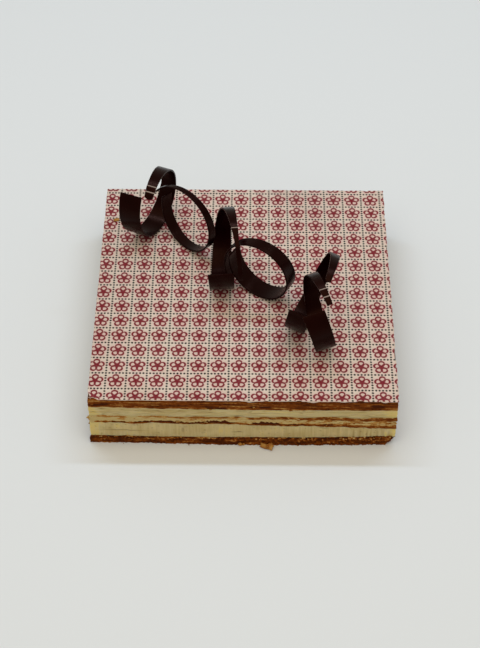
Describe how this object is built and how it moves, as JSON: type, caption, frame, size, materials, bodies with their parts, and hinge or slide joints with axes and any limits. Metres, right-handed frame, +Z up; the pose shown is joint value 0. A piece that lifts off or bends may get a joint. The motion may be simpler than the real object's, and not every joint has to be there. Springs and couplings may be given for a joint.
{
  "type": "mille-feuille",
  "caption": "Square layered cake: puff pastry sheets with pastry cream between them, iced top with dark chocolate curls standing on it.",
  "frame": {"origin": "middle of the underside, on the surface that the cake stands on", "axes": "+Z up, +X to the right and +Y to the back as the cake is seen from its front cut face"},
  "size_m": [0.16, 0.16, 0.0795],
  "materials": {
    "bottom_pastry": "matte",
    "lower_cream": "satin",
    "middle_pastry": "matte",
    "upper_cream": "satin",
    "top_pastry": "matte",
    "icing": "satin",
    "chocolate": "gloss"
  },
  "bodies": {
    "root": {"bottom_pastry": "bottom_pastry", "lower_cream": "lower_cream", "middle_pastry": "middle_pastry", "upper_cream": "upper_cream", "top_pastry": "top_pastry", "icing": "icing", "chocolate_curl_left": "chocolate", "chocolate_ring_left": "chocolate", "chocolate_curl_middle": "chocolate", "chocolate_ring_middle": "chocolate", "chocolate_curl_right": "chocolate", "chocolate_curl_right_back": "chocolate"}
  },
  "joints": []
}
